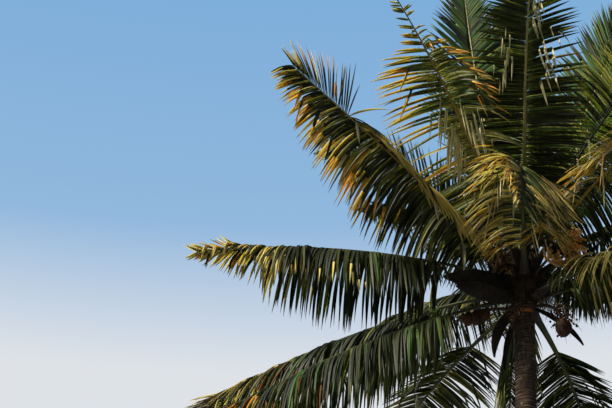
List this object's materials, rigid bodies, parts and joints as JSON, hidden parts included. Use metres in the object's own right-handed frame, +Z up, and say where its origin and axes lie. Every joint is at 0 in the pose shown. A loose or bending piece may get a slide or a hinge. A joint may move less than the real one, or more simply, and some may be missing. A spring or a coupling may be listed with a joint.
{
  "type": "coconut palm tree",
  "caption": "Tall coconut palm with a leaning ringed trunk, a full crown of drooping feather fronds, and stalks of fruit and flowers under it.",
  "frame": {"origin": "centre of the flat cut under the trunk, at ground level", "axes": "+Z up; +X the way the trunk leans; -Y the side that the picture was taken from"},
  "size_m": [9.3689, 8.6041, 16.2291],
  "materials": {
    "bark": "rough grey-brown bark with leaf-scar rings",
    "leaf_base": "fibrous brown and dull green leaf bases",
    "leaf": "dark olive green leaflets, ochre at many tips",
    "dry_sheath": "dry dark brown woody sheath",
    "husk": "red-brown fruit on a dark stalk",
    "stalk": "orange-brown dry flower stalk"
  },
  "bodies": {
    "root": {"buttons_front": "stalk", "flowers_back": "stalk", "flowers_left": "stalk", "flowers_right": "stalk", "frond_back_high": "leaf", "frond_back_left_level": "leaf", "frond_back_left_low": "leaf", "frond_back_low": "leaf", "frond_back_mid": "leaf", "frond_back_right_high": "leaf", "frond_back_right_low": "leaf", "frond_back_right_mid": "leaf", "frond_back_upright": "leaf", "frond_front_arched_inner": "leaf", "frond_front_arched_outer": "leaf", "frond_front_high": "leaf", "frond_left_front_high": "leaf", "frond_left_front_level": "leaf", "frond_left_front_mid": "leaf", "frond_left_high": "leaf", "frond_left_level": "leaf", "frond_left_low": "leaf", "frond_left_mid": "leaf", "frond_left_upright": "leaf", "frond_right_back_level": "leaf", "frond_right_front_high": "leaf", "frond_right_front_low": "leaf", "frond_right_front_mid": "leaf", "frond_right_level": "leaf", "frond_right_low": "leaf", "frond_right_mid": "leaf", "frond_right_upright": "leaf", "fruit_back": "husk", "fruit_left": "husk", "fruit_right": "husk", "heart": "leaf_base", "sheath_back": "dry_sheath", "sheath_left": "dry_sheath", "sheath_level": "dry_sheath", "sheath_low": "dry_sheath", "sheath_right": "dry_sheath", "trunk": "bark"}
  },
  "joints": []
}
